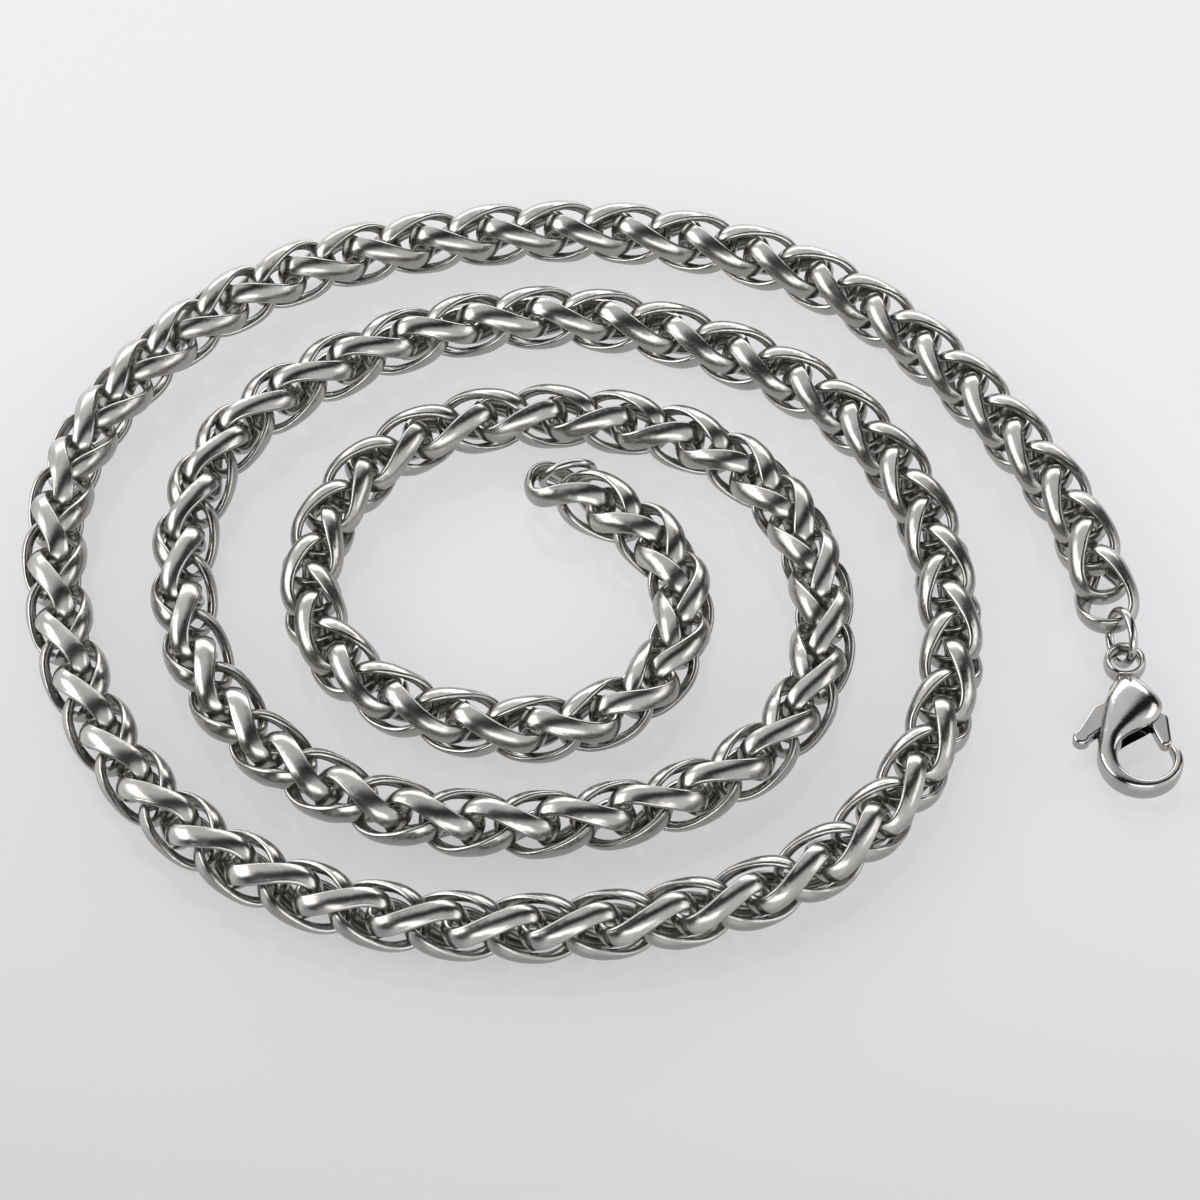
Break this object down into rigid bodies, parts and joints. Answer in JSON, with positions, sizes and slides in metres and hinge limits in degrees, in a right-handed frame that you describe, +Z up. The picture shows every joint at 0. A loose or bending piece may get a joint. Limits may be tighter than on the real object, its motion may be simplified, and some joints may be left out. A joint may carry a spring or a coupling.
{
  "type": "wheat chain necklace",
  "caption": "Long necklace of twisted oval links in a wheat pattern, laid in a spiral, with a lobster clasp on a jump ring at one end and a bare jump ring at the other.",
  "frame": {"origin": "on the surface that the necklace lies on, under the middle of the box that holds all of it", "axes": "+Z up from the surface; +X along the spiral's longer way, towards the side where the clasp lies; the clasp points to -Y"},
  "size_m": [0.1036, 0.0848, 0.0061],
  "materials": {
    "link_steel": "satin",
    "ring_steel": "polished steel wire",
    "clasp_steel": "polished cast steel"
  },
  "bodies": {
    "necklace": {"wheat_chain": "link_steel", "clasp_jump_ring": "ring_steel", "end_jump_ring": "ring_steel", "clasp_body": "clasp_steel", "clasp_pin": "clasp_steel"},
    "lever": {"clasp_lever": "clasp_steel"}
  },
  "joints": [
    {"name": "clasp_lever_hinge", "type": "hinge", "parent": "necklace", "child": "lever", "pos_m": [0.04738, -0.01536, 0.00195], "axis": [0, 0, -1], "range_deg": [0, 25], "stiffness_Nm_per_rad": 0.004}
  ]
}
